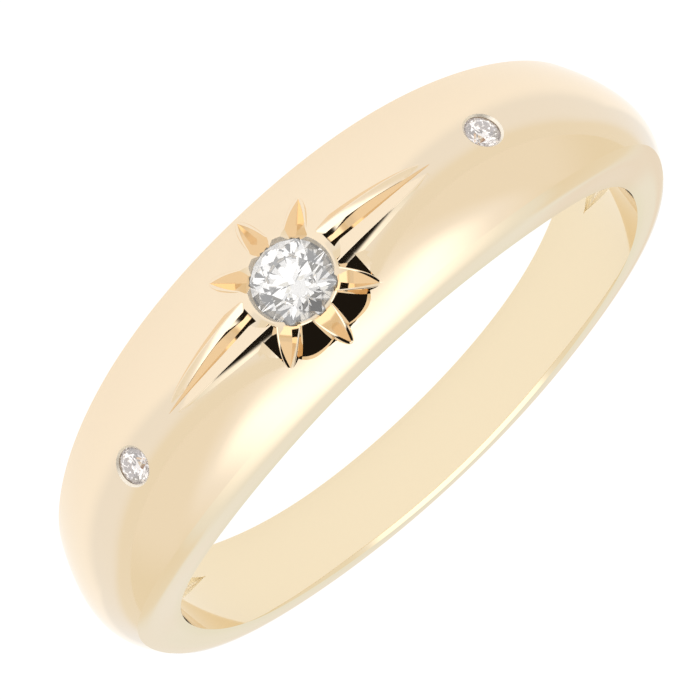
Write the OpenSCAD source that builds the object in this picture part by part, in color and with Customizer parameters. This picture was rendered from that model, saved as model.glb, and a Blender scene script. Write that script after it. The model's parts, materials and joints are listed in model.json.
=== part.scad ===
// A domed gold finger ring with an eight-rayed star collar, a round centre stone and two
// small flush-set side stones. It is shown as it rests on its side. Millimetres, +Z up.
//
// The ring is drawn in its own frame first: the finger axis is Z and the star faces +X.
// rest() then lays it down: the dome is wider than the shank, so the star's end sits higher.

/* [Finger] */
// Diameter of the finger hole
finger_d = 17.3; // [15.5:0.1:20.5]
// How much wider the finger hole is at its two ends
flare_r = 0.035; // [0.03:0.005:0.1]
// Depth of that flare below each side wall
flare_h = 0.14; // [0.1:0.01:0.4]

/* [Dome] */
// Roundness of the dome across the band: 0.5 is an ellipse, 1 a parabola
dome_power = 1; // [0.5:0.05:1]
// Deepest point of the hollow under the dome
hollow_depth = 0.7; // [0.4:0.05:0.8]
// Half width of that hollow behind the star
hollow_half_w = 1.45; // [0.9:0.05:1.6]
// Angle round the ring, from the star, at which the hollow ends
hollow_end = 104; // [90:1:120]

/* [Star] */
// Height of the collar and rays over the dome
star_h = 0.26; // [0.15:0.01:0.35]
// Outer radius of the flat rim round the centre stone
rim_r = 1.28; // [1.25:0.01:1.4]
// Slope of the skirt below the rim, in degrees
skirt_slope = 26; // [20:1:40]
// Length of the two rays that lie along the band, from the star's centre
long_ray = 4.75; // [4:0.05:5.2]
// Length of the six short rays, from the star's centre
short_ray = 2.32; // [2.1:0.01:2.5]

/* [Stones] */
// Diameter of the centre stone
centre_d = 2.33; // [2.1:0.01:2.35]
// Diameter of each side stone
side_d = 1.06; // [0.9:0.01:1.15]
// Angle of each side stone round the ring, from the star
side_at = 37.2; // [34:0.1:40]
// Clearance between a stone and its seat
stone_gap = 0.03; // [0.02:0.005:0.05]

/* [Hidden] */

GOLD = [0.93, 0.80, 0.55];
DIAMOND = [0.90, 0.93, 0.96];

// Sizes of the band at nine even steps round half the ring, from the star to the back.
// Columns: angle, half width of the band, thickness at the crest, height of the side wall.
STATIONS = [
    [0, 2.60, 1.60, 1.46],
    [22.5, 2.545, 1.90, 1.50],
    [45, 2.30, 2.02, 1.50],
    [67.5, 1.86, 1.86, 1.48],
    [90, 1.54, 1.75, 1.22],
    [112.5, 1.47, 1.66, 1.05],
    [135, 1.33, 1.56, 0.93],
    [157.5, 1.25, 1.40, 0.76],
    [180, 1.25, 1.18, 0.62],
];
HALF_W = 1;
CREST = 2;
WALL = 3;
LAST = len(STATIONS) - 1;

finger_r = finger_d / 2;

// Steps round the ring and across the dome, and corners of the hollow
RING_STEPS = 60;
DOME_STEPS = 12;
HOLLOW_STEPS = 8;
FINE = 48;

// A smooth even curve through one column of STATIONS. The nine angles are evenly spaced, so
// weights of alternating sign, halved at both ends, give the polynomial in cos(angle).
function weight(k) = (k % 2 == 0 ? 1 : -1) * (k == 0 || k == LAST ? 0.5 : 1);
function sum(v, i = 0) = i < len(v) ? v[i] + sum(v, i + 1) : 0;
function near(angle) = [
    for (k = [0:LAST]) if (abs(cos(angle) - cos(STATIONS[k][0])) < 1e-7) k
];
function smooth(angle, column) =
    len(near(angle)) > 0
        ? STATIONS[near(angle)[0]][column]
        : sum([for (k = [0:LAST]) pull(angle, k) * STATIONS[k][column]])
            / sum([for (k = [0:LAST]) pull(angle, k)]);
function pull(angle, k) = weight(k) / (cos(angle) - cos(STATIONS[k][0]));

// Radius of the outer surface at an angle round the ring and a height along its axis
function dome_r(angle, z) =
    let (
        w = smooth(angle, HALF_W),
        wall = smooth(angle, WALL),
        rise = smooth(angle, CREST) - wall,
        across = min(1, abs(z) / w)
    )
    finger_r + wall + rise * pow(1 - across * across, dome_power);

// A point at a radius, an angle round the ring and a height
function ring_point(r, angle, z) = [r * cos(angle), r * sin(angle), z];

crest_r = dome_r(0, 0);
star_top_r = crest_r + star_h;

// Cut of the round brilliants, as shares of the diameter and degrees
TABLE = 0.56;
CROWN_SLOPE = 34.5;
PAVILION_SLOPE = 40.8;
GIRDLE = 0.03;
function crown_h(d) = d / 2 * (GIRDLE + (1 - TABLE) * tan(CROWN_SLOPE));

// The girdle of the centre stone lies this far below the rim
centre_depth = 0.28;
centre_girdle_r = star_top_r - centre_depth;

// How the ring lies: on the back of the shank and on the hole's edge behind the star
back_wall_r = finger_r + STATIONS[LAST][WALL];
rest_tilt = atan(
    (STATIONS[0][HALF_W] - STATIONS[LAST][HALF_W]) / (finger_r + flare_r + back_wall_r)
);
rest_h = STATIONS[LAST][HALF_W] * cos(rest_tilt) + back_wall_r * sin(rest_tilt);

// The origin is under the middle of the whole ring, on the surface that it lies on
front_x = (centre_girdle_r + crown_h(centre_d)) * cos(rest_tilt)
    + TABLE * centre_d / 2 * sin(rest_tilt);
back_x = -dome_r(180, 0) * cos(rest_tilt);
rest_x = -(front_x + back_x) / 2;

module rest() {
    translate([rest_x, 0, rest_h]) rotate([0, -rest_tilt, 0]) children();
}

// Joins rings of points into one closed surface. wrap closes the last ring on the first;
// otherwise each end is closed by a fan.
function quad_faces(rings, sides, wrap) = [
    for (i = [0:(wrap ? rings - 1 : rings - 2)], j = [0:sides - 1])
        let (
            a = i * sides + j,
            b = i * sides + (j + 1) % sides,
            c = ((i + 1) % rings) * sides + (j + 1) % sides,
            d = ((i + 1) % rings) * sides + j
        )
        each [[a, b, c], [a, c, d]]
];
function end_fan(first, sides, flip) = [
    for (j = [1:sides - 2])
        flip ? [first, first + j + 1, first + j] : [first, first + j, first + j + 1]
];

module swept(rings, wrap) {
    sides = len(rings[0]);
    points = [for (ring = rings) each ring];
    walls = quad_faces(len(rings), sides, wrap);
    ends = wrap
        ? []
        : concat(
            end_fan(0, sides, true),
            end_fan((len(rings) - 1) * sides, sides, false)
        );
    polyhedron(points, concat(walls, ends));
}

// How far the band and the hollow reach inside the hole, which is then cut true
INSIDE = 0.5;

// Half width and depth of the hollow scooped out under the dome. It keeps its width behind the
// dome and runs out in a point on each side of the shank, past which it has no depth.
HOLLOW_TAPER = 5;
HOLLOW_POINT_W = 0.02;
function hollow_share(angle, power) = max(0, 1 - pow(abs(angle) / hollow_end, power));
function hollow_w(angle) = HOLLOW_POINT_W + hollow_half_w * hollow_share(angle, HOLLOW_TAPER);
function hollow_r(angle, a) =
    hollow_share(angle, 2) <= 0
        ? finger_r - INSIDE
        : finger_r - INSIDE
            + (INSIDE + hollow_depth * sqrt(hollow_share(angle, 2))) * sin(a);

// Cross-section of the band at one angle: the dome, the side walls, the flares at the ends of
// the hole, and the hollow. The slope of a flare goes on a little way inside the hole.
FLARE_OVER = 0.02;
function inner_edge(w, side) =
    let (in_z = w - flare_h * (1 + FLARE_OVER / flare_r))
    [
        [finger_r + flare_r, side * w],
        [finger_r - FLARE_OVER, side * in_z],
        [finger_r - INSIDE, side * in_z],
    ];
function reversed(v) = [for (i = [len(v) - 1:-1:0]) v[i]];
function band_section(angle) =
    let (
        w = smooth(angle, HALF_W),
        dome = [
            for (i = [0:DOME_STEPS])
                let (z = -w * cos(180 * i / DOME_STEPS))
                [dome_r(angle, z), z]
        ],
        hollow = [
            for (j = [0:HOLLOW_STEPS])
                let (a = 180 * j / HOLLOW_STEPS)
                [hollow_r(angle, a), hollow_w(angle) * cos(a)]
        ]
    )
    concat(dome, inner_edge(w, 1), hollow, reversed(inner_edge(w, -1)));
function band_ring(angle) = [
    for (p = band_section(angle)) ring_point(p[0], angle, p[1])
];

module band_body() {
    swept([
        for (i = [0:RING_STEPS - 1])
            band_ring(360 * i / RING_STEPS - (2 * i > RING_STEPS ? 360 : 0))
    ], true);
}

// The star's relief is laid out flat, along the band and across it, and then wrapped on the
// dome. A point is its distance along the band, across it, and its height over the dome.
function wrapped(along, across, height) =
    let (angle = along / crest_r * 180 / PI)
    ring_point(dome_r(angle, across) + height, angle, across);

// One ray: two ridges whose tops slope in towards a groove, on walls that spread downwards.
// t runs from the rim, 0, to the tip, 1. The groove is cut after the star is joined.
// A ray: length, half widths at the rim and at the tip, groove's half width, two powers that
// shape its fall, spread of its walls, where its groove starts, and how far the groove lies
// off its middle.
LONG = [long_ray, 0.52, 0.30, 0.21, 1.8, 1.3, 0.9, 1.38, 0.1];
SHORT = [short_ray, 0.33, 0.17, 0.24, 2, 1, 0.3, 1.05, 0];
LENGTH = 0;
ROOT_W = 1;
END_W = 2;
GROOVE_W = 3;
FALL_IN = 4;
FALL_OUT = 5;
SPREAD = 6;
GROOVE_FROM = 7;
GROOVE_OFF = 8;
RAY_ROOT = 0.12;
RAY_BURY = 0.35;
RIDGE_SLOPE = 0.24;
GROOVE_SLOPE = [0.9, 1.6];
GROOVE_STEEP_AT = 0.4;
GROOVE_TOP = 0.2;
RAY_STEPS = 12;
TIP_W = 0.01;
TIP_BLUNT = 5;
function ray_s(ray, t) = rim_r - RAY_ROOT + (ray[LENGTH] - rim_r + RAY_ROOT) * t;
function ray_half_w(ray, t) =
    (ray[ROOT_W] + (ray[END_W] - ray[ROOT_W]) * t) * sqrt(1 - pow(t, TIP_BLUNT)) + TIP_W;
function ray_height(ray, t) = star_h * pow(1 - pow(t, ray[FALL_IN]), ray[FALL_OUT]) - TIP_W;
function groove_w(ray, t) = ray[GROOVE_W] * (1 - pow(t, 2));
// The walls of a groove are gentler at the rim, and steep from GROOVE_STEEP_AT on
function groove_slope(t) =
    GROOVE_SLOPE[0] + (GROOVE_SLOPE[1] - GROOVE_SLOPE[0]) * min(1, t / GROOVE_STEEP_AT);
function ray_section(ray, t) =
    let (
        s = ray_s(ray, t),
        half_w = ray_half_w(ray, t),
        height = ray_height(ray, t),
        foot = half_w + ray[SPREAD] * (height + RAY_BURY)
    )
    [
        [s, -foot, -RAY_BURY],
        [s, -half_w, height],
        [s, 0, height - RIDGE_SLOPE * half_w],
        [s, half_w, height],
        [s, foot, -RAY_BURY],
    ];
function groove_section(ray, t, side) =
    let (
        s = ray[GROOVE_FROM] + (ray[LENGTH] - ray[GROOVE_FROM]) * t,
        share = max(0, (s - ray_s(ray, 0)) / (ray[LENGTH] - ray_s(ray, 0))),
        half_w = groove_w(ray, share),
        slope = groove_slope(share),
        off = side * ray[GROOVE_OFF] * (1 - share),
        height = ray_height(ray, share) - RIDGE_SLOPE * half_w,
        top_w = half_w + GROOVE_TOP / slope
    )
    [
        [s, off - top_w, height + GROOVE_TOP],
        [s, off, height - slope * half_w],
        [s, off + top_w, height + GROOVE_TOP],
    ];
function turned(p, angle) = wrapped(
    p[0] * cos(angle) - p[1] * sin(angle),
    p[0] * sin(angle) + p[1] * cos(angle),
    p[2]
);
function turned_ring(section, angle) = [for (p = section) turned(p, angle)];

module ray_body(ray, angle) {
    swept([
        for (i = [0:RAY_STEPS]) turned_ring(ray_section(ray, i / RAY_STEPS), angle)
    ], false);
}

// side says to which side of the ray its groove lies off the middle
module ray_groove(ray, angle, side) {
    swept([
        for (i = [0:RAY_STEPS]) turned_ring(groove_section(ray, i / RAY_STEPS, side), angle)
    ], false);
}

// Flat faces are cut between the rays on the star's upper side, from the collar's rim down into
// the dome. A face slopes down in one direction. It is given by its slope, that direction in
// degrees from straight across the band, and how far from the star's centre it passes through
// the dome.
FACE_TOP = 0.5;
END_FACE = [27, 18, 1.643];
SIDE_FACE = [22, 15, 1.105];
FACE_STEPS = 16;
FACE_OFF = 0.01;
face_r = rim_r + FACE_OFF;
function face_h(face, s, q) =
    tan(face[0]) * (face[2] - abs(s) * sin(face[1]) - abs(q) * cos(face[1]));
function face_section(face, near, far) = [
    wrapped(near[0], near[1], face_h(face, near[0], near[1])),
    wrapped(far[0], far[1], face_h(face, far[0], far[1])),
    wrapped(far[0], far[1], FACE_TOP),
    wrapped(near[0], near[1], FACE_TOP),
];

// Faces on both sides of the ray that runs straight across the band. They end on a line that
// bulges between the rays and turns in at its ends.
END_S = 1.42;
END_Q = 1.86;
END_BULGE = 0.09;
BULGE_S = 1.3;
END_TURN = 0.5;
TURN_POWER = 8;
function end_q(s) =
    END_Q + END_BULGE * sin(180 * min(1, s / BULGE_S)) - END_TURN * pow(s / END_S, TURN_POWER);
module end_cut() {
    swept([
        for (i = [-FACE_STEPS:FACE_STEPS])
            let (
                s = END_S * i / FACE_STEPS,
                near = max(abs(s), sqrt(max(0, face_r * face_r - s * s))),
                far = max(end_q(abs(s)), near + TIP_W)
            )
            face_section(END_FACE, [s, near], [s, far])
    ], false);
}

// A face along the long ray, which ends square to it
SIDE_S = 1.65;
SIDE_Q = [0.45, 1.62];
module side_cut(end) {
    swept([
        for (i = [0:FACE_STEPS])
            let (
                q = SIDE_Q[0] + (SIDE_Q[1] - SIDE_Q[0]) * i / FACE_STEPS,
                near = max(q, sqrt(max(0, face_r * face_r - q * q)))
            )
            face_section(SIDE_FACE, [end * near, q], [end * SIDE_S, q])
    ], false);
}

module face_cuts() {
    end_cut();
    for (end = [-1, 1]) side_cut(end);
}

// Turns a shape that is drawn along +Z so that it stands on the dome at an angle
module on_dome(angle, r, lean = 0) {
    rotate([0, 0, angle]) translate([r, 0, 0]) rotate([0, 0, -lean]) rotate([0, 90, 0]) children();
}

// The collar's skirt runs down to this depth inside the band
COLLAR_ROOT = 0.25;
module collar() {
    drop = star_h + COLLAR_ROOT;
    on_dome(0, crest_r - COLLAR_ROOT)
        cylinder(h = drop, r1 = rim_r + drop / tan(skirt_slope), r2 = rim_r, $fn = FINE);
}

LONG_AT = [0, 180];
SHORT_AT = [45, 90, 135, 225, 270, 315];
module rays() {
    for (a = LONG_AT) ray_body(LONG, a);
    for (a = SHORT_AT) ray_body(SHORT, a);
}

module grooves() {
    for (a = LONG_AT) ray_groove(LONG, a, -cos(a));
    for (a = SHORT_AT) ray_groove(SHORT, a, 0);
}

// A round brilliant about its girdle plane, drawn along +Z. STAR_AT and LOWER_AT are the
// radii of the crown's star points and of the pavilion's lower points, as shares.
STAR_AT = 0.78;
LOWER_AT = 0.24;
MAINS = 8;
STEP = 360 / MAINS;
function ring_of(r, z, count, start) = [
    for (k = [0:count - 1])
        let (a = start + 360 * k / count)
        [r * cos(a), r * sin(a), z]
];

module brilliant(d) {
    r = d / 2;
    girdle = GIRDLE * r;
    table_r = TABLE * r;
    table_z = girdle + (r - table_r) * tan(CROWN_SLOPE);
    star_r = STAR_AT * r;
    star_z = girdle + (r - star_r * cos(STEP / 2)) * tan(CROWN_SLOPE);
    culet_z = -girdle - r * tan(PAVILION_SLOPE);
    lower_r = LOWER_AT * r;
    lower_z = culet_z + lower_r * cos(STEP / 2) * tan(PAVILION_SLOPE);
    // Rings from the top down: table, star points, girdle top and bottom, pavilion points, culet
    table0 = 0;
    star0 = table0 + MAINS;
    top0 = star0 + MAINS;
    bottom0 = top0 + 2 * MAINS;
    lower0 = bottom0 + 2 * MAINS;
    culet = lower0 + MAINS;
    points = concat(
        ring_of(table_r, table_z, MAINS, 0),
        ring_of(star_r, star_z, MAINS, STEP / 2),
        ring_of(r, girdle, 2 * MAINS, 0),
        ring_of(r, -girdle, 2 * MAINS, 0),
        ring_of(lower_r, lower_z, MAINS, STEP / 2),
        [[0, 0, culet_z]]
    );
    faces = concat(
        [[for (k = [MAINS - 1:-1:0]) table0 + k]],
        [
            for (k = [0:MAINS - 1])
                let (
                    next = (k + 1) % MAINS,
                    before = (k + MAINS - 1) % MAINS,
                    main = 2 * k,
                    half = 2 * k + 1,
                    after = (2 * k + 2) % (2 * MAINS)
                )
                each [
                    [table0 + k, table0 + next, star0 + k],
                    [table0 + k, star0 + k, top0 + main],
                    [table0 + k, top0 + main, star0 + before],
                    [star0 + k, top0 + half, top0 + main],
                    [star0 + k, top0 + after, top0 + half],
                    [top0 + main, top0 + half, bottom0 + half],
                    [top0 + main, bottom0 + half, bottom0 + main],
                    [top0 + half, top0 + after, bottom0 + after],
                    [top0 + half, bottom0 + after, bottom0 + half],
                    [lower0 + k, bottom0 + main, bottom0 + half],
                    [lower0 + k, bottom0 + half, bottom0 + after],
                    [lower0 + k, culet, bottom0 + main],
                    [lower0 + before, bottom0 + main, culet],
                ]
        ]
    );
    polyhedron(points, faces);
}

// A seat turned to fit a stone, with its girdle at z = 0: an open back, a cone under the
// pavilion, a wall round the girdle, and a mouth over the crown that flares outwards.
BACK_HOLE = 0.42;
module seat(d, mouth, top, back) {
    r = d / 2 + stone_gap;
    girdle = GIRDLE * d / 2 + stone_gap;
    hole_r = BACK_HOLE * r;
    crown = girdle + (r - mouth[0]) * tan(CROWN_SLOPE);
    rotate_extrude($fn = FINE) polygon([
        [0, -back],
        [hole_r, -back],
        [hole_r, -girdle - (r - hole_r) * tan(PAVILION_SLOPE)],
        [r, -girdle],
        [r, girdle],
        [mouth[0], crown],
        [mouth[1], top],
        [0, top],
    ]);
}

// The side stones stand square to the dome, which is not quite square to the radius there
LEAN_STEP = 1;
side_r = dome_r(side_at, 0);
side_lean = atan(
    (dome_r(side_at + LEAN_STEP / 2, 0) - dome_r(side_at - LEAN_STEP / 2, 0))
        / (side_r * LEAN_STEP * PI / 180)
);

// Mouths of the seats: radius at the stone and at the top, which is cut a little above the
// metal, and how far the seat goes down behind the stone
SEAT_OVER = 0.1;
CENTRE_MOUTH = [1.13, 1.257];
CENTRE_BACK = 1.6;
SIDE_MOUTH = [0.51, 0.745];
SIDE_BACK = 2;
side_depth = 0.16;

module side_place(side) {
    on_dome(side * side_at, side_r - side_depth, side * side_lean) children();
}

module seats() {
    on_dome(0, centre_girdle_r)
        seat(centre_d, CENTRE_MOUTH, centre_depth + SEAT_OVER, CENTRE_BACK);
    for (side = [-1, 1]) side_place(side)
        seat(side_d, SIDE_MOUTH, side_depth + SEAT_OVER, SIDE_BACK);
}

// The finger hole is cut right through the band
HOLE_H = 12;
module ring_band() {
    color(GOLD) rest() difference() {
        union() {
            difference() {
                union() {
                    band_body();
                    collar();
                }
                face_cuts();
            }
            rays();
        }
        grooves();
        cylinder(h = HOLE_H, r = finger_r, center = true, $fn = 180);
        seats();
    }
}

module centre_stone() {
    color(DIAMOND) rest() on_dome(0, centre_girdle_r) brilliant(centre_d);
}

module side_stone(side) {
    color(DIAMOND) rest() side_place(side) brilliant(side_d);
}

module side_stone_left() {
    side_stone(1);
}

module side_stone_right() {
    side_stone(-1);
}

ring_band();
centre_stone();
side_stone_left();
side_stone_right();
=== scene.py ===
import json
import math
from collections import namedtuple

import bpy
import bmesh
import numpy as np
from mathutils import Matrix, Vector


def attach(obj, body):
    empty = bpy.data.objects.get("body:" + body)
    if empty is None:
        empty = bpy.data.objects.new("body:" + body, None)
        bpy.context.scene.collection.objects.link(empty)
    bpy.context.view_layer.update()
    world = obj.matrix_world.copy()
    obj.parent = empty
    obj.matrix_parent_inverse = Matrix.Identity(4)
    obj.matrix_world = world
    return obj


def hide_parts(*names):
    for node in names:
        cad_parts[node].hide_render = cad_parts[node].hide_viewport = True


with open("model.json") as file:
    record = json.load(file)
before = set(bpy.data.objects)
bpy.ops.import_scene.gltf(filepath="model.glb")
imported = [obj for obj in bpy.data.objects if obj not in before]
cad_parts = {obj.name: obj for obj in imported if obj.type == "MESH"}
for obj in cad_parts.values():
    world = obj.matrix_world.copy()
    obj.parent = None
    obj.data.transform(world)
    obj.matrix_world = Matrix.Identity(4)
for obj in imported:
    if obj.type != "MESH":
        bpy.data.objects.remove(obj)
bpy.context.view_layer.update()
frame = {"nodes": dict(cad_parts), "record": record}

MM = 0.001

# Driving sizes of the ring in millimetres, as in the part's source
FINGER_R = 8.65
DOME_POWER = 1
STAR_H = 0.26
RIM_R = 1.28
SKIRT_SLOPE = math.radians(26)
CENTRE_D = 2.33
SIDE_D = 1.06
SIDE_AT = math.radians(37.2)
STONE_GAP = 0.03

# Half width, thickness at the crest and height of the side wall, at nine even steps from
# the star to the back
STATIONS = (
    (2.60, 1.60, 1.46),
    (2.545, 1.90, 1.50),
    (2.30, 2.02, 1.50),
    (1.86, 1.86, 1.48),
    (1.54, 1.75, 1.22),
    (1.47, 1.66, 1.05),
    (1.33, 1.56, 0.93),
    (1.25, 1.40, 0.76),
    (1.25, 1.18, 0.62),
)
HALF_W, CREST, WALL = 0, 1, 2
NEAR_STATION = 1e-9

# The ring's own frame: finger axis Z, star at +X. The bore mount says how it lies.
bore = next(m for m in frame["record"]["mounts"] if m["name"] == "finger_bore")
bore_centre = Vector(bore["pos_m"])
bore_axis = Vector(bore["axis"]).normalized()
REST_TILT = math.asin(-bore_axis.x)
REST = Matrix.Translation(bore_centre) @ Matrix.Rotation(-REST_TILT, 4, "Y")


def lerp(a, b, t):
    return a + (b - a) * t


def smooth(angle, column):
    """The smooth even curve through one column of STATIONS, as a polynomial in cos(angle)."""
    last = len(STATIONS) - 1
    c = np.cos(np.asarray(angle, dtype=float))
    top = np.zeros_like(c)
    bottom = np.zeros_like(c)
    for k, row in enumerate(STATIONS):
        weight = (-1) ** k * (0.5 if k in (0, last) else 1.0)
        away = c - math.cos(math.pi * k / last)
        away = np.where(np.abs(away) < NEAR_STATION, NEAR_STATION, away)
        top = top + weight / away * row[column]
        bottom = bottom + weight / away
    return top / bottom


def dome_r(angle, z):
    """Radius of the dome's outer face."""
    w = smooth(angle, HALF_W)
    wall = smooth(angle, WALL)
    rise = smooth(angle, CREST) - wall
    across = np.minimum(1, np.abs(z) / w)
    return FINGER_R + wall + rise * (1 - across**2) ** DOME_POWER


CREST_R = float(dome_r(0.0, 0.0))


def in_ring(r, angle, z):
    """Points from a radius, an angle and a height in the ring's frame, in millimetres."""
    return np.stack([r * np.cos(angle), r * np.sin(angle), z + 0 * r], axis=-1)


def make_object(name, points, faces):
    """A mesh object from points in the ring's frame in millimetres."""
    mesh = bpy.data.meshes.new(name)
    mesh.from_pydata([tuple(p) for p in points], [], faces)
    mesh.validate()
    obj = bpy.data.objects.new(name, mesh)
    bpy.context.collection.objects.link(obj)
    return obj


def swept(name, rings, closed):
    """A closed surface through rings of points; open runs get a flat cap at each end."""
    count, sides = rings.shape[:2]
    steps = count if closed else count - 1
    faces = []
    for i in range(steps):
        here = i * sides
        there = (i + 1) % count * sides
        for j in range(sides):
            k = (j + 1) % sides
            faces.append((here + j, here + k, there + k, there + j))
    if not closed:
        faces.append(tuple(reversed(range(sides))))
        faces.append(tuple((count - 1) * sides + j for j in range(sides)))
    return make_object(name, rings.reshape(-1, 3), faces)


# Band
RING_STEPS = 480
DOME_STEPS = 44
LAND_STEPS = 3
EDGE_STEPS = 10
HOLLOW_STEPS = 22

# The side wall is flat up to FLAT_TO, a share of its height, and then falls away to the dome.
# EDGE_DROP is how far, as a share of its height too.
FLAT_TO = 0.5
EDGE_DROP = 0.115

# The flare at each end of the hole is full at the back and thins out towards the sides. Its
# rows are shares of its height, with one more close behind it that keeps it crisp.
FLARE_R = 0.035
FLARE_H = 0.14
FLARE_FROM = math.radians(118)
FLARE_FULL = math.radians(152)
FLARE_LEAST = 0.02
FLARE_ROWS = (0, 0.06, 0.94, 1)
FLARE_BEHIND = 0.01

# The hollow under the dome runs out to a point on each side of the ring and dips on the way.
# Its section is an arc whose centre lies HOLLOW_INSIDE inside the hole's wall.
HOLLOW_DEPTH = 0.7
HOLLOW_HALF_W = 1.45
HOLLOW_POINT_W = 0.02
HOLLOW_END = math.radians(118)
HOLLOW_TAPER = 4
HOLLOW_SHALLOW = 2
HOLLOW_DIP = 0.45
HOLLOW_INSIDE = 0.5


def flare_share(angle):
    share = (abs(angle) - FLARE_FROM) / (FLARE_FULL - FLARE_FROM)
    return float(np.clip(share, FLARE_LEAST, 1))


def inner_side(angle, w):
    """Side wall and flared end of the hole, from outside in, as radius and height."""
    wall = float(smooth(angle, WALL))
    share = flare_share(angle)
    flare_r = FLARE_R * math.sqrt(share)
    flare_h = FLARE_H * share
    rows = []
    for i in range(1, EDGE_STEPS + 1):
        fall = 1 - i / EDGE_STEPS
        rows.append((FINGER_R + wall * lerp(FLAT_TO, 1, fall), w - EDGE_DROP * wall * fall**2))
    rows.append((FINGER_R + wall * FLAT_TO / 2, w))
    rows += [(FINGER_R + flare_r * (1 - row), w - flare_h * row) for row in FLARE_ROWS]
    rows.append((FINGER_R, w - flare_h - FLARE_BEHIND))
    return rows


def hollow_share(angle, power):
    return max(0.0, 1 - (abs(angle) / HOLLOW_END) ** power)


def hollow_size(angle):
    """Half width, depth and middle height of the hollow."""
    share = hollow_share(angle, HOLLOW_TAPER)
    half_w = HOLLOW_POINT_W + HOLLOW_HALF_W * share
    depth = HOLLOW_DEPTH * math.sqrt(hollow_share(angle, HOLLOW_SHALLOW))
    return half_w, depth, HOLLOW_DIP * (share - 1)


def hollow_arc(angle):
    """Section of the hollow from its upper side to its lower one, as radius and height."""
    half_w, depth, middle = hollow_size(angle)
    start = math.asin(HOLLOW_INSIDE / (HOLLOW_INSIDE + depth))
    rows = []
    for i in range(HOLLOW_STEPS + 1):
        even = i / HOLLOW_STEPS
        a = start + (math.pi - 2 * start) * even
        if depth == 0:
            rows.append((FINGER_R, middle + HOLLOW_POINT_W * (1 - 2 * even)))
        else:
            rows.append((
                FINGER_R - HOLLOW_INSIDE + (HOLLOW_INSIDE + depth) * math.sin(a),
                middle + half_w * math.cos(a),
            ))
    return rows


def land(start, stop):
    """Rows of the hole's wall between two heights."""
    return [(FINGER_R, start + (stop - start) * i / LAND_STEPS) for i in range(1, LAND_STEPS)]


def band_ring(angle):
    """One section of the band: dome, upper side wall, hole with its hollow, lower side wall."""
    w = float(smooth(angle, HALF_W))
    drop = EDGE_DROP * float(smooth(angle, WALL))
    spread = np.linspace(0, math.pi, DOME_STEPS + 1)
    r = dome_r(angle, -w * np.cos(spread))
    dome = list(zip(r, -(w - drop) * np.cos(spread)))
    upper = inner_side(angle, w)
    lower = [(r, -z) for r, z in reversed(upper)]
    arc = hollow_arc(angle)
    upper += land(upper[-1][1], arc[0][1])
    lower = land(arc[-1][1], lower[0][1]) + lower
    rows = np.array(dome + upper + arc + lower)
    return in_ring(rows[:, 0], angle, rows[:, 1])


def band_body():
    rings = []
    for i in range(RING_STEPS):
        angle = 2 * math.pi * i / RING_STEPS
        if angle > math.pi:
            angle -= 2 * math.pi
        rings.append(band_ring(angle))
    return swept("ring_body", np.array(rings), True)


# Star. A ray has its length, its half widths at the rim and at the tip, the two powers that
# shape its fall, and the spread of its walls. Its groove has a half width, the distance from
# the star's centre at which it starts, and how far it lies off the ray's middle.
Ray = namedtuple("Ray", "length rim_w tip_w fall spread groove_w groove_from groove_off")
LONG = Ray(
    length=4.75, rim_w=0.52, tip_w=0.30, fall=(1.8, 1.3), spread=0.9,
    groove_w=0.21, groove_from=1.38, groove_off=0.1,
)
SHORT = Ray(
    length=2.32, rim_w=0.33, tip_w=0.17, fall=(2, 1), spread=0.3,
    groove_w=0.24, groove_from=1.05, groove_off=0,
)
RAYS = [(LONG, degrees) for degrees in (0, 180)]
RAYS += [(SHORT, degrees) for degrees in (45, 90, 135, 225, 270, 315)]
RAY_START = RIM_R - 0.12
RAY_BURY = 0.35
RAY_POINT = 5
RAY_STEPS = 60
RAY_WALL_ROWS = (0.35, 0.7)
RIDGE_SLOPE = 0.24
TIP_W = 0.01

# A groove's walls grow steeper from the ray's start to the share GROOVE_STEEP_AT of its length.
GROOVE_SLOPE = (0.9, 1.6)
GROOVE_STEEP_AT = 0.4
GROOVE_TOP = 0.2

# Rounding of the edges of the rays and of the collar. It takes at most a share of each side.
EDGE_ROUND = 0.025
COLLAR_ROUND = 0.04
ROUND_STEPS = 4
ROUND_SHARE = 0.4


def wrapped(along, across, height):
    """The star is laid out flat and then wrapped on the dome."""
    angle = along / CREST_R
    return in_ring(dome_r(angle, across) + height, angle, across)


def ray_s(ray, t):
    return RAY_START + (ray.length - RAY_START) * t


def ray_height(ray, t):
    return STAR_H * max(0.0, 1 - t ** ray.fall[0]) ** ray.fall[1] - TIP_W


def rounded(before, corner, after, radius):
    """Points of a small curve that replaces a corner."""
    a = before - corner
    b = after - corner
    a_len = np.linalg.norm(a)
    b_len = np.linalg.norm(b)
    reach = min(radius, a_len * ROUND_SHARE, b_len * ROUND_SHARE)
    start = corner + a / a_len * reach
    stop = corner + b / b_len * reach
    points = []
    for i in range(ROUND_STEPS + 1):
        t = i / ROUND_STEPS
        points.append((1 - t) ** 2 * start + 2 * t * (1 - t) * corner + t**2 * stop)
    return points


def turned(s, q, h, turn):
    """Points of a ray's section at s along it, q across it and h over the dome."""
    along = s * math.cos(turn) - q * math.sin(turn)
    across = s * math.sin(turn) + q * math.cos(turn)
    return wrapped(along, across, h)


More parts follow.
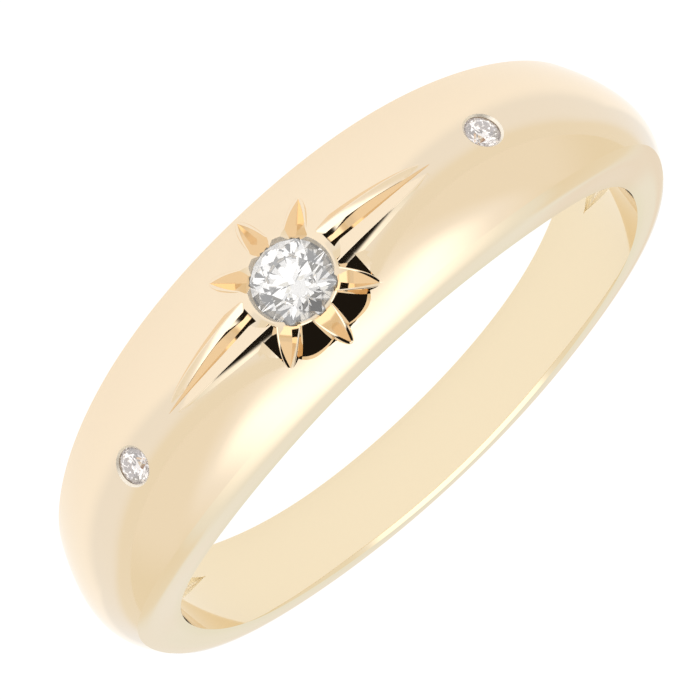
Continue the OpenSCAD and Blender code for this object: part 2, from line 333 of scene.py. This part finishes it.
def ray_ring(ray, t, turn):
    """Section of a ray: two walls, and a top that sinks a little to its middle."""
    half_w = lerp(ray.rim_w, ray.tip_w, t) * math.sqrt(max(0.0, 1 - t**RAY_POINT)) + TIP_W
    height = ray_height(ray, t)
    foot = np.array([half_w + ray.spread * (height + RAY_BURY), -RAY_BURY])
    edge = np.array([half_w, height])
    middle = np.array([0.0, height - RIDGE_SLOPE * half_w])
    half = [foot]
    half += [lerp(foot, edge, share) for share in RAY_WALL_ROWS]
    half += rounded(foot, edge, middle, EDGE_ROUND)
    half += [lerp(edge, middle, 0.5)]
    q = np.array([-p[0] for p in half] + [0.0] + [p[0] for p in reversed(half)])
    h = np.array([p[1] for p in half] + [middle[1]] + [p[1] for p in reversed(half)])
    return turned(ray_s(ray, t), q, h, turn)


def groove_ring(ray, t, turn):
    """Section of the cutter for a ray's groove, a V that is open at the top."""
    s = lerp(ray.groove_from, ray.length, t)
    share = max(0.0, (s - RAY_START) / (ray.length - RAY_START))
    half_w = ray.groove_w * (1 - share**2)
    slope = lerp(*GROOVE_SLOPE, min(1.0, share / GROOVE_STEEP_AT))
    height = ray_height(ray, share) - RIDGE_SLOPE * half_w
    top_w = half_w + GROOVE_TOP / slope
    off = -math.cos(turn) * ray.groove_off * (1 - share)
    q = off + np.array([-top_w, 0.0, top_w])
    h = np.array([height + GROOVE_TOP, height - slope * half_w, height + GROOVE_TOP])
    return turned(s, q, h, turn)


def ray_shape(name, ring, ray, degrees):
    turn = math.radians(degrees)
    rings = [ring(ray, i / RAY_STEPS, turn) for i in range(RAY_STEPS + 1)]
    return swept(f"{name}_{degrees}", np.array(rings), False)


# Flat faces between the rays on the star's upper side, from the collar's rim down into the
# dome: slope, the direction in which it falls from straight across the band, and how far from
# the star's centre it passes through the dome.
Face = namedtuple("Face", "slope turn reach")
END_FACE = Face(math.radians(27), math.radians(18), 1.643)
SIDE_FACE = Face(math.radians(22), math.radians(15), 1.105)
FACE_TOP = 0.5
FACE_STEPS = 60
FACE_R = RIM_R + 0.01

# The faces beside the ray that runs straight across the band reach END_S along the band. They
# end at END_Q across it, with a bulge on the way and a round corner at the end.
END_S = 1.42
END_Q = 1.86
END_BULGE = 0.09
END_BULGE_S = 1.3
END_CORNER = 0.5
END_CORNER_POWER = 8

# The faces beside the long rays reach SIDE_S along the band, over a span SIDE_Q across it.
SIDE_S = 1.65
SIDE_Q = (0.45, 1.62)


def face_h(face, s, q):
    out = abs(s) * math.sin(face.turn) + abs(q) * math.cos(face.turn)
    return math.tan(face.slope) * (face.reach - out)


def past_rim(offset):
    """Where a face starts: clear of the collar's rim, and past the star's diagonal."""
    return max(abs(offset), math.sqrt(max(0.0, FACE_R**2 - offset**2)))


def face_section(face, near, far):
    """Section of the cutter over a face, between two points of it."""
    points = (near, far, far, near)
    s = np.array([p[0] for p in points])
    q = np.array([p[1] for p in points])
    h = np.array([face_h(face, *near), face_h(face, *far), FACE_TOP, FACE_TOP])
    return wrapped(s, q, h)


def end_cut():
    rings = []
    for s in np.linspace(-END_S, END_S, 2 * FACE_STEPS + 1):
        near = past_rim(s)
        bulge = END_BULGE * math.sin(math.pi * min(1.0, abs(s) / END_BULGE_S))
        far = END_Q + bulge - END_CORNER * (abs(s) / END_S) ** END_CORNER_POWER
        rings.append(face_section(END_FACE, (s, near), (s, max(far, near + TIP_W))))
    return swept("end_cut", np.array(rings), False)


def side_cut(end):
    rings = []
    for q in np.linspace(*SIDE_Q, FACE_STEPS + 1):
        rings.append(face_section(SIDE_FACE, (end * past_rim(q), q), (end * SIDE_S, q)))
    return swept("side_cut", np.array(rings), False)


TURNED_STEPS = 96


def turned_solid(name, profile, place):
    """A solid of revolution about its own Z, set in place by a matrix."""
    points = []
    faces = []
    for r, z in profile:
        if r == 0:
            points.append([place @ Vector((0, 0, z))])
        else:
            ring = []
            for i in range(TURNED_STEPS):
                a = 2 * math.pi * i / TURNED_STEPS
                ring.append(place @ Vector((r * math.cos(a), r * math.sin(a), z)))
            points.append(ring)
    starts = np.cumsum([0] + [len(ring) for ring in points]).tolist()
    for k in range(len(points) - 1):
        lower, upper = starts[k], starts[k + 1]
        for i in range(TURNED_STEPS):
            j = (i + 1) % TURNED_STEPS
            if len(points[k]) == 1:
                faces.append((lower, upper + j, upper + i))
            elif len(points[k + 1]) == 1:
                faces.append((lower + i, lower + j, upper))
            else:
                faces.append((lower + i, lower + j, upper + j, upper + i))
    return make_object(name, [p for ring in points for p in ring], faces)


def on_dome(angle, r, lean=0.0):
    """Stands a shape drawn along +Z on the dome at an angle round the ring."""
    return (
        Matrix.Rotation(angle, 4, "Z")
        @ Matrix.Translation((r, 0, 0))
        @ Matrix.Rotation(-lean, 4, "Z")
        @ Matrix.Rotation(math.pi / 2, 4, "Y")
    )


COLLAR_ROOT = -0.25
COLLAR_ROWS = (0.25, 0.5, 0.75)


def collar():
    foot_r = RIM_R + (STAR_H - COLLAR_ROOT) / math.tan(SKIRT_SLOPE)
    foot = np.array([foot_r, COLLAR_ROOT])
    rim = np.array([RIM_R, STAR_H])
    middle = np.array([0.0, STAR_H])
    rows = [foot]
    rows += [lerp(foot, rim, share) for share in COLLAR_ROWS]
    rows += rounded(foot, rim, middle, COLLAR_ROUND)
    profile = [(0, COLLAR_ROOT)] + [tuple(p) for p in rows] + [(0, STAR_H)]
    return turned_solid("collar", profile, on_dome(0.0, CREST_R))


# Seats, with the girdle plane of the stone at height 0. A mouth is its radius at the stone
# and its radius at the top. Depth is from the seat's top to the girdle plane, and back is how
# far down the open hole behind the stone goes.
Seat = namedtuple("Seat", "stone_d mouth depth back place")
CROWN_SLOPE = math.radians(34.5)
PAVILION_SLOPE = math.radians(40.8)
GIRDLE = 0.03
BACK_HOLE = 0.42
SEAT_OVER = 0.1
CENTRE_DEPTH = 0.28
SIDE_DEPTH = 0.16
LEAN_STEP = math.radians(0.5)


def side_place(side):
    """A side stone's place, square to the dome's surface."""
    r = float(dome_r(SIDE_AT, 0.0))
    rise = float(dome_r(SIDE_AT + LEAN_STEP, 0.0) - dome_r(SIDE_AT - LEAN_STEP, 0.0))
    lean = math.atan(rise / (2 * LEAN_STEP * r))
    return on_dome(side * SIDE_AT, r - SIDE_DEPTH, side * lean)


CENTRE_PLACE = on_dome(0.0, CREST_R + STAR_H - CENTRE_DEPTH)
SEATS = [Seat(CENTRE_D, (1.13, 1.257), CENTRE_DEPTH, 1.6, CENTRE_PLACE)]
SEATS += [Seat(SIDE_D, (0.51, 0.745), SIDE_DEPTH, 2.0, side_place(side)) for side in (1, -1)]
INTO_SEATS = [seat.place.inverted() for seat in SEATS]

# A face belongs to a seat where it lies higher than SATIN_DOWN, from the girdle plane, and no
# further than SATIN_OUT outside the seat's wall.
SATIN_DOWN = -0.6
SATIN_OUT = 0.003


def seat_levels(seat):
    """Radius at the girdle, and heights at the girdle's edge and at the foot of the mouth."""
    r = seat.stone_d / 2 + STONE_GAP
    girdle = GIRDLE * seat.stone_d / 2 + STONE_GAP
    return r, girdle, girdle + (r - seat.mouth[0]) * math.tan(CROWN_SLOPE)


def seat_cut(seat):
    r, girdle, crown = seat_levels(seat)
    hole_r = BACK_HOLE * r
    top = seat.depth + SEAT_OVER
    profile = [
        (0, -seat.back),
        (hole_r, -seat.back),
        (hole_r, -girdle - (r - hole_r) * math.tan(PAVILION_SLOPE)),
        (r, -girdle),
        (r, girdle),
        (seat.mouth[0], crown),
        (seat.mouth[1], top),
        (0, top),
    ]
    return turned_solid("seat_cut", profile, seat.place)


def in_seat(point):
    """Whether a point of the band, in the ring's frame, lies on the wall of a seat."""
    for seat, into in zip(SEATS, INTO_SEATS):
        local = into @ point
        r, _, crown = seat_levels(seat)
        if local.z > crown:
            r = lerp(*seat.mouth, (local.z - crown) / (seat.depth + SEAT_OVER - crown))
        if SATIN_DOWN < local.z and math.hypot(local.x, local.y) < r + SATIN_OUT:
            return True
    return False


def in_hollow(point):
    """Whether a point of the band, in the ring's frame, lies in the hollow under the dome."""
    half_w, depth, middle = hollow_size(math.atan2(point.y, point.x))
    near = abs(point.z - middle) < half_w
    r = math.hypot(point.x, point.y)
    return depth > 0 and near and r < FINGER_R + HOLLOW_DEPTH + HOLLOW_POINT_W


# Edges sharper than SHARP show as edges. Faces thinner than SCRAP are left out.
SHARP = math.radians(26)
SCRAP = 1e-5


def outward(obj):
    """Turns every face outwards."""
    bm = bmesh.new()
    bm.from_mesh(obj.data)
    bmesh.ops.recalc_face_normals(bm, faces=bm.faces)
    if bm.calc_volume(signed=True) < 0:
        bmesh.ops.reverse_faces(bm, faces=bm.faces)
    bm.to_mesh(obj.data)
    bm.free()
    return obj


def combine(target, tool, operation):
    mod = target.modifiers.new("combine", "BOOLEAN")
    mod.operation = operation
    mod.solver = "MANIFOLD"
    mod.object = outward(tool)
    bpy.context.view_layer.update()
    graph = bpy.context.evaluated_depsgraph_get()
    mesh = bpy.data.meshes.new_from_object(target.evaluated_get(graph))
    target.modifiers.clear()
    target.data = mesh
    bpy.data.objects.remove(tool, do_unlink=True)


def drop_scraps(obj):
    """Deletes the tiny loose pieces and faces without area that crossing cuts leave behind."""
    bm = bmesh.new()
    bm.from_mesh(obj.data)
    bmesh.ops.dissolve_degenerate(bm, dist=SCRAP, edges=bm.edges)
    left = set(bm.verts)
    shells = []
    while left:
        shell = []
        front = [left.pop()]
        while front:
            vert = front.pop()
            shell.append(vert)
            for link in vert.link_edges:
                other = link.other_vert(vert)
                if other in left:
                    left.remove(other)
                    front.append(other)
        shells.append(shell)
    shells.sort(key=len)
    scraps = [vert for shell in shells[:-1] for vert in shell]
    bmesh.ops.delete(bm, geom=scraps, context="VERTS")
    bm.to_mesh(obj.data)
    bm.free()


def build_band(polished_with_hole_shade, satin_with_painted_light):
    band = outward(band_body())
    combine(band, collar(), "UNION")
    for cut in (end_cut(), side_cut(-1), side_cut(1)):
        combine(band, cut, "DIFFERENCE")
    for ray, degrees in RAYS:
        combine(band, ray_shape("ray", ray_ring, ray, degrees), "UNION")
    for ray, degrees in RAYS:
        combine(band, ray_shape("groove", groove_ring, ray, degrees), "DIFFERENCE")
    for seat in SEATS:
        combine(band, seat_cut(seat), "DIFFERENCE")
    drop_scraps(band)
    band.name = "gold_band"
    band.data.name = "gold_band"
    band.data.materials.clear()
    for finish in (polished_with_hole_shade, satin_with_painted_light):
        band.data.materials.append(finish)
    for poly in band.data.polygons:
        poly.use_smooth = True
        poly.material_index = int(in_seat(poly.center) or in_hollow(poly.center))
    band.data.transform(REST @ Matrix.Scale(MM, 4))
    band.data.set_sharp_from_angle(angle=SHARP)
    return band


# Materials

# Sockets of a Mix node that mixes colours
MIX_SHARE, MIX_FIRST, MIX_SECOND, MIX_RESULT = 0, 6, 7, 2


class Tree:
    """The nodes of a material or of the world, with a call for each kind that is used."""

    def __init__(self, owner):
        owner.use_nodes = True
        self.nodes = owner.node_tree.nodes
        self.links = owner.node_tree.links

    def feed(self, socket, value):
        """Links another node's output to a socket, or sets the socket to a plain value."""
        if isinstance(value, bpy.types.NodeSocket):
            self.links.new(value, socket)
        else:
            socket.default_value = value

    def place(self, output):
        return self.nodes.new("ShaderNodeTexCoord").outputs[output]

    def split(self, vector):
        node = self.nodes.new("ShaderNodeSeparateXYZ")
        self.feed(node.inputs["Vector"], vector)
        return node.outputs

    def math(self, operation, *inputs):
        node = self.nodes.new("ShaderNodeMath")
        node.operation = operation
        for socket, value in zip(node.inputs, inputs):
            self.feed(socket, value)
        return node.outputs[0]

    def vector(self, operation, *inputs, output="Vector"):
        node = self.nodes.new("ShaderNodeVectorMath")
        node.operation = operation
        for socket, value in zip(node.inputs, inputs):
            self.feed(socket, value)
        return node.outputs[output]

    def ramp(self, value, span, ends=(0.0, 1.0), kind="SMOOTHSTEP"):
        """The first of two ends up to the start of a span, and the second from its end."""
        node = self.nodes.new("ShaderNodeMapRange")
        node.interpolation_type = kind
        for name, number in zip(("From Min", "From Max", "To Min", "To Max"), (*span, *ends)):
            node.inputs[name].default_value = number
        self.feed(node.inputs["Value"], value)
        return node.outputs["Result"]

    def within(self, value, span, soft):
        """1 inside a span, running out to 0 over a soft edge on each side."""
        up, down = (self.ramp(value, (edge - soft, edge + soft)) for edge in span)
        return self.math("SUBTRACT", up, down)

    def mix(self, share, first, second):
        """The first colour where share is 0, and the second where it is 1."""
        node = self.nodes.new("ShaderNodeMix")
        node.data_type = "RGBA"
        self.feed(node.inputs[MIX_SHARE], share)
        for index, colour in ((MIX_FIRST, first), (MIX_SECOND, second)):
            self.feed(node.inputs[index], (*colour, 1) if isinstance(colour, tuple) else colour)
        return node.outputs[MIX_RESULT]

    def noise(self, vector, scale, detail):
        node = self.nodes.new("ShaderNodeTexNoise")
        node.inputs["Scale"].default_value = scale
        node.inputs["Detail"].default_value = detail
        self.feed(node.inputs["Vector"], vector)
        return node.outputs["Fac"]


def new_material(name):
    material = bpy.data.materials.new(name)
    tree = Tree(material)
    return material, tree, tree.nodes["Principled BSDF"]


def dress(obj, material):
    obj.data.materials.clear()
    obj.data.materials.append(material)


# Gold in the hole is a little deeper in colour than outside it, which is painted shade in the
# hole. The satin is paler, partly as satin gold looks and partly as painted light that lifts
# the shade in the seats and the hollow, most of all in the hole. The one colour turns into the
# other between the radii of INSIDE_TO. Each finish has a least and a greatest roughness, and
# a noise varies it between them. A noise is given by its scale and its detail.
GOLD = (0.905, 0.755, 0.562)
# The second colour is painted shade: the same gold made darker in the hole.
GOLD_HOLE_PAINTED_SHADE = (0.872, 0.737, 0.518)
GOLD_ROUGH = (0.035, 0.075)
# The satin colours are partly painted light: paler to lift the shade in the seats and the
# hollow, and the one for the hole most of all.
SATIN_AND_PAINTED_LIGHT = (0.96, 0.88, 0.76)
SATIN_HOLLOW_PAINTED_LIGHT = (0.99, 0.89, 0.69)
SATIN_ROUGH = (0.40, 0.55)
INSIDE_TO = ((FINGER_R + 0.02) * MM, (FINGER_R + 0.4) * MM)
POLISH_NOISE = (900.0, 3.0)
POLISH_SPAN = (0.3, 0.7)


def gold_material(name, inside, outside, roughness):
    material, tree, shader = new_material(name)
    shader.inputs["Metallic"].default_value = 1.0
    ring = tree.nodes.new("ShaderNodeMapping")
    ring.vector_type = "TEXTURE"
    ring.inputs["Location"].default_value = bore_centre
    ring.inputs["Rotation"].default_value = (0, -REST_TILT, 0)
    tree.feed(ring.inputs["Vector"], tree.place("Object"))
    place = ring.outputs["Vector"]
    flat = tree.vector("MULTIPLY", place, (1, 1, 0))
    off_axis = tree.vector("LENGTH", flat, output="Value")
    # The colour for the hole is laid on by the distance from the finger's axis: painted shade
    # on the polished gold, painted light on the satin.
    colour = tree.mix(tree.ramp(off_axis, INSIDE_TO), inside, outside)
    tree.feed(shader.inputs["Base Color"], colour)
    wear = tree.noise(place, *POLISH_NOISE)
    tree.feed(shader.inputs["Roughness"], tree.ramp(wear, POLISH_SPAN, roughness, "LINEAR"))
    return material


# A stone's colours where it is clear and where it is clouded, and the colour and strength of
# a painted glow that lifts its darker facets; the stone glows though it is no lamp
CENTRE_LOOK = ((0.75, 0.735, 0.72), (0.72, 0.70, 0.68), (1.0, 1.0, 1.0), 0.055)
SIDE_LOOK = ((0.76, 0.73, 0.705), (0.73, 0.695, 0.67), (1.0, 0.91, 0.88), 0.075)
DIAMOND_IOR = 2.417
CLOUD_NOISE = (1600.0, 4.0)
CLOUD_SPAN = (0.35, 0.65)
CLOUD_ROUGH = 0.02


def diamond_material(name, clear, clouded, painted_glow, painted_glow_strength):
    """Diamond with faint clouds in its colour, the finest of polish marks and a painted glow.
    """
    material, tree, shader = new_material(name)
    shader.inputs["Transmission Weight"].default_value = 1.0
    shader.inputs["IOR"].default_value = DIAMOND_IOR
    # Painted glow: the stone gives out light of its own, which lifts its darker facets.
    shader.inputs["Emission Color"].default_value = (*painted_glow, 1)
    shader.inputs["Emission Strength"].default_value = painted_glow_strength
    share = tree.ramp(tree.noise(tree.place("Object"), *CLOUD_NOISE), CLOUD_SPAN)
    tree.feed(shader.inputs["Base Color"], tree.mix(share, clear, clouded))
    tree.feed(shader.inputs["Roughness"], tree.math("MULTIPLY", share, CLOUD_ROUGH))
    return material


# Camera. Its place is in the ring's own frame, as angles and millimetres. Its scale is in
# pixels of the photo for each millimetre, and its clip range is in metres.
PHOTO_SIDE = 700
SENSOR = 36.0
CAM_ELEVATION = math.radians(18.63)
CAM_AZIMUTH = math.radians(-0.55)
CAM_ROLL = math.radians(-43.99)
CAM_DISTANCE = 137.0
CAM_SCALE = 35.466
CAM_SHIFT_ALONG = -0.070
CAM_SHIFT_ACROSS = -0.948
CAM_CLIP = (0.001, 100)


def place_camera():
    """The photo's view of the ring, in the ring's own frame and then laid down with it."""
    cos_up, sin_up = math.cos(CAM_ELEVATION), math.sin(CAM_ELEVATION)
    cos_side, sin_side = math.cos(CAM_AZIMUTH), math.sin(CAM_AZIMUTH)
    back = Vector((cos_up * cos_side, -cos_up * sin_side, sin_up))
    along = Vector((-sin_side, -cos_side, 0))
    across = Vector((-sin_up * cos_side, sin_up * sin_side, cos_up))
    eye = back * CAM_DISTANCE + along * CAM_SHIFT_ALONG + across * CAM_SHIFT_ACROSS
    right = along * math.cos(CAM_ROLL) - across * math.sin(CAM_ROLL)
    up = -(along * math.sin(CAM_ROLL) + across * math.cos(CAM_ROLL))
    turn = Matrix((right, up, back)).transposed()
    data = bpy.data.cameras.new("camera")
    data.sensor_width = SENSOR
    data.lens = CAM_SCALE * CAM_DISTANCE / PHOTO_SIDE * SENSOR
    data.clip_start, data.clip_end = CAM_CLIP
    camera = bpy.data.objects.new("camera", data)
    bpy.context.collection.objects.link(camera)
    camera.matrix_world = REST @ Matrix.Translation(eye * MM) @ turn.to_4x4()
    bpy.context.scene.camera = camera


# Surroundings

# The floor glows a little, so that only a faint shadow shows on it. It is white where the
# camera sees it, and duller past that. The tilted frame sees a kite, which is widest at KITE_X
# and narrows at these slopes to its near and far points. Lengths are in metres here.
FLOOR_R = 0.08
FLOOR_SIDES = 128
FLOOR_BASE = 0.16
FLOOR_ROUGH = 0.9
FLOOR_GLOW = 0.94
KITE_X = -0.0026
KITE_SLOPES = (0.483, -0.294)
WHITE = (1.0, 1.0, 1.0)
FLOOR_WHITE_TO = (0.0144, 0.0170)
FLOOR_PALE_TO = (0.021, 0.032)
FLOOR_PALE = (0.865, 0.88, 0.905)
FLOOR_FAR = (0.83, 0.80, 0.71)


def build_floor():
    bpy.ops.mesh.primitive_circle_add(vertices=FLOOR_SIDES, radius=FLOOR_R, fill_type="NGON")
    floor = bpy.context.object
    floor.name = "floor"
    material, tree, shader = new_material("pale_floor")
    shader.inputs["Base Color"].default_value = (FLOOR_BASE, FLOOR_BASE, FLOOR_BASE, 1)
    shader.inputs["Roughness"].default_value = FLOOR_ROUGH
    shader.inputs["Specular IOR Level"].default_value = 0.0
    shader.inputs["Emission Strength"].default_value = FLOOR_GLOW
    x, y, _ = tree.split(tree.place("Object"))
    past = tree.math("SUBTRACT", x, KITE_X)
    slopes = [tree.math("MULTIPLY", past, slope) for slope in KITE_SLOPES]
    off = tree.math("ADD", tree.math("MAXIMUM", *slopes), tree.math("ABSOLUTE", y))
    pale = tree.mix(tree.ramp(off, FLOOR_WHITE_TO), WHITE, FLOOR_PALE)
    tint = tree.mix(tree.ramp(off, FLOOR_PALE_TO), pale, FLOOR_FAR)
    tree.feed(shader.inputs["Emission Color"], tint)
    dress(floor, material)


# Light of the studio by direction: x towards the star's side, y to the ring's left and z up.
# Beside is |y| and over is z - |y|. Each pair says where a change starts and where it is done.
FRONT_X = (-0.3, 0.5)
BEHIND = (0.90, 0.93, 0.90)
BEHIND_Z = (0.04, 0.18)
BEHIND_RIGHT = (0.88, 0.83, 0.75)
BEHIND_LEFT = (0.91, 0.91, 0.87)
BEHIND_Y = (-0.12, 0.12)
TAN = (0.88, 0.83, 0.69)
TAN_Z = (0.08, 0.20)
TAN_BESIDE = (0.12, 0.20)
TAN_OVER = (0.12, 0.26)
GLOW = (1.62, 1.62, 1.62)
GLOW_OVER = (0.22, 0.84)
HORIZON = (0.93, 0.90, 0.82)
HORIZON_X = (-0.5, 0.0)

# Low down, changes go by the height over a curve that rises to both sides,
# z = beside * (EDGE_BEND * beside + EDGE_RISE). The studio begins at LOW_TO and its bright
# card, in front, at CARD_TO.
EDGE_BEND = 0.22
EDGE_RISE = 0.28
LOW_TO = (-0.22, -0.10)
CARD_TO = (-0.14, -0.05)
CARD_X = (0.35, 0.95)

# The black screen spans these angles from the front over the top, and narrows from the first
# half width to the second over SCREEN_NARROWS.
SCREEN = (math.radians(22), math.radians(84))
SCREEN_SOFT = math.radians(2)
SCREEN_NARROWS = (math.radians(38), math.radians(62))
SCREEN_HALF_W = (0.60, 0.50)
SCREEN_SIDE = (-0.03, 0.03)
BLACK = (0.012, 0.010, 0.008)


def build_world():
    """A studio that is pale all round, with a bright card low down in front and a black screen
    that reaches from there to over the ring."""
    world = bpy.data.worlds.new("studio")
    bpy.context.scene.world = world
    tree = Tree(world)
    x, y, z = tree.split(tree.place("Generated"))
    beside = tree.math("ABSOLUTE", y)
    over = tree.math("SUBTRACT", z, beside)

    # Behind the ring it is duller low down and tan to both sides, and it grows white right over
    # the middle
    low = tree.mix(tree.ramp(y, BEHIND_Y), BEHIND_RIGHT, BEHIND_LEFT)
    behind = tree.mix(tree.ramp(z, BEHIND_Z), low, BEHIND)
    tan = tree.math("SUBTRACT", tree.ramp(beside, TAN_BESIDE), tree.ramp(over, TAN_OVER))
    tan = tree.math("MULTIPLY", tan, tree.ramp(z, TAN_Z))
    behind = tree.mix(tan, behind, TAN)
    behind = tree.mix(tree.ramp(over, GLOW_OVER), behind, GLOW)
    sky = tree.mix(tree.ramp(x, FRONT_X), behind, WHITE)

    # The bright card stands higher at its sides than in front of the ring
    edge = tree.math("MULTIPLY_ADD", beside, EDGE_BEND, EDGE_RISE)
    rise = tree.math("SUBTRACT", z, tree.math("MULTIPLY", edge, beside))
    low = tree.mix(tree.ramp(x, HORIZON_X), TAN, HORIZON)
    sky = tree.mix(tree.ramp(rise, LOW_TO), low, sky)
    card = tree.math("MULTIPLY", tree.ramp(rise, CARD_TO), tree.ramp(x, CARD_X))
    sky = tree.mix(card, sky, GLOW)

    turn = tree.math("ARCTAN2", z, x)
    half_w = tree.ramp(turn, SCREEN_NARROWS, SCREEN_HALF_W, "LINEAR")
    inside = tree.math("SUBTRACT", half_w, beside)
    arc = tree.within(turn, SCREEN, SCREEN_SOFT)
    dark = tree.math("MULTIPLY", arc, tree.ramp(inside, SCREEN_SIDE))
    tree.feed(tree.nodes["Background"].inputs["Color"], tree.mix(dark, sky, BLACK))


place_camera()
centre_diamond = diamond_material("centre_diamond", *CENTRE_LOOK)
side_diamond = diamond_material("side_diamond", *SIDE_LOOK)
band = build_band(
    gold_material("polished_gold_painted_hole_shade", GOLD_HOLE_PAINTED_SHADE, GOLD, GOLD_ROUGH),
    gold_material("satin_gold_painted_light", SATIN_HOLLOW_PAINTED_LIGHT, SATIN_AND_PAINTED_LIGHT, SATIN_ROUGH),
)
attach(band, "root")
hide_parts("ring_band")

dress(frame["nodes"]["centre_stone"], centre_diamond)
for node in ("side_stone_left", "side_stone_right"):
    dress(frame["nodes"][node], side_diamond)

build_floor()
build_world()
bpy.context.scene.view_settings.view_transform = "Standard"
